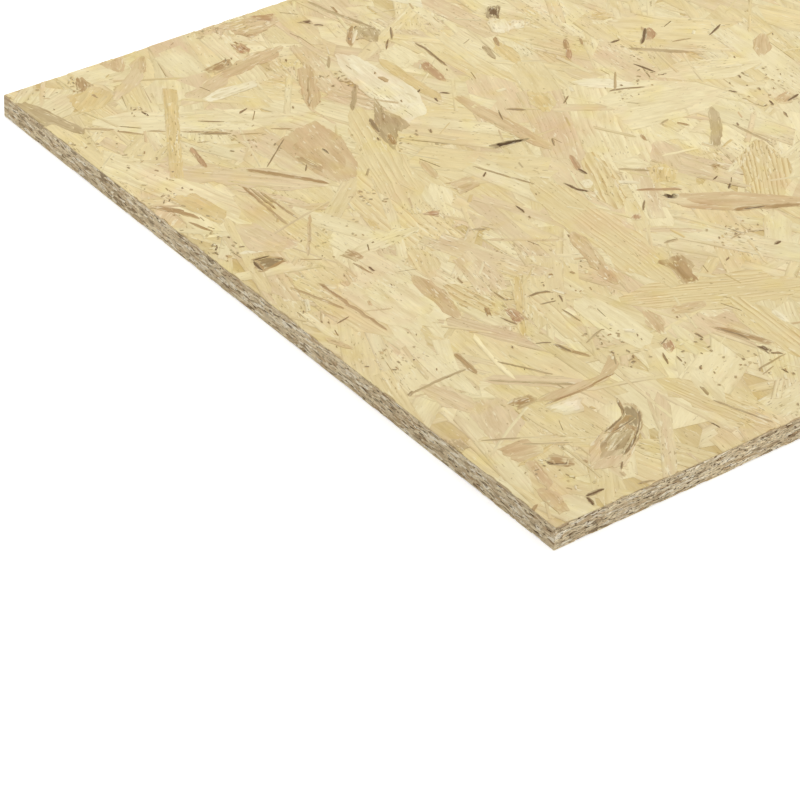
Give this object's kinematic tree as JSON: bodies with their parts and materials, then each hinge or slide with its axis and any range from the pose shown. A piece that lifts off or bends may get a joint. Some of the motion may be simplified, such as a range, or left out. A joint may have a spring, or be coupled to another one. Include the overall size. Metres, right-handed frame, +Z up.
{
  "type": "oriented strand board panel",
  "caption": "Flat rectangular oriented strand board panel with square sawn edges, for sheathing, decking, shelving and crates.",
  "frame": {"origin": "centre of the underside, on the surface that the panel lies on", "axes": "+X along the length, +Y across the width, +Z up through the thickness"},
  "size_m": [1.22, 0.61, 0.018],
  "materials": {
    "strand_board": "matt unsanded face of pale pressed wood strands, darker sawn edges"
  },
  "bodies": {
    "root": {"osb_panel": "strand_board"}
  },
  "joints": []
}
